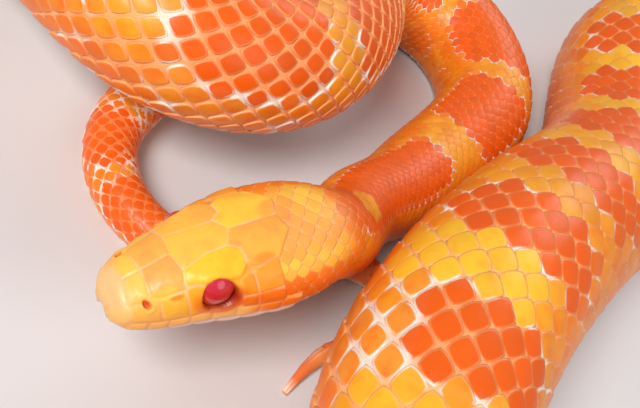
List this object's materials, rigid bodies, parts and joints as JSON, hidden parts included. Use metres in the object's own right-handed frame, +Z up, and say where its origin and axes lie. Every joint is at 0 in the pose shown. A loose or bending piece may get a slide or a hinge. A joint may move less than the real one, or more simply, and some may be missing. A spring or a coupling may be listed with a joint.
{
  "type": "corn snake model",
  "caption": "Still life-size corn snake lying in loose curves, with its head raised and its body crossing over its tail.",
  "frame": {"origin": "middle of the model's footprint, on the floor", "axes": "+Z up; +Y is the longest side of the footprint, and the head looks towards -Y, a little towards -X"},
  "size_m": [0.2058, 0.2422, 0.0255],
  "materials": {
    "skin": "smooth satin scales, red-orange blotches with pale rims on yellow-orange",
    "eye": "clear glossy spectacle over a deep red eye"
  },
  "bodies": {
    "root": {"head": "skin", "neck": "skin", "body_01": "skin", "body_02": "skin", "body_03": "skin", "body_04": "skin", "body_05": "skin", "body_06": "skin", "body_07": "skin", "body_08": "skin", "body_09": "skin", "body_10": "skin", "body_11": "skin", "body_12": "skin", "tail_1": "skin", "tail_2": "skin", "tail_3": "skin", "eye_left": "eye", "eye_right": "eye"}
  },
  "joints": []
}
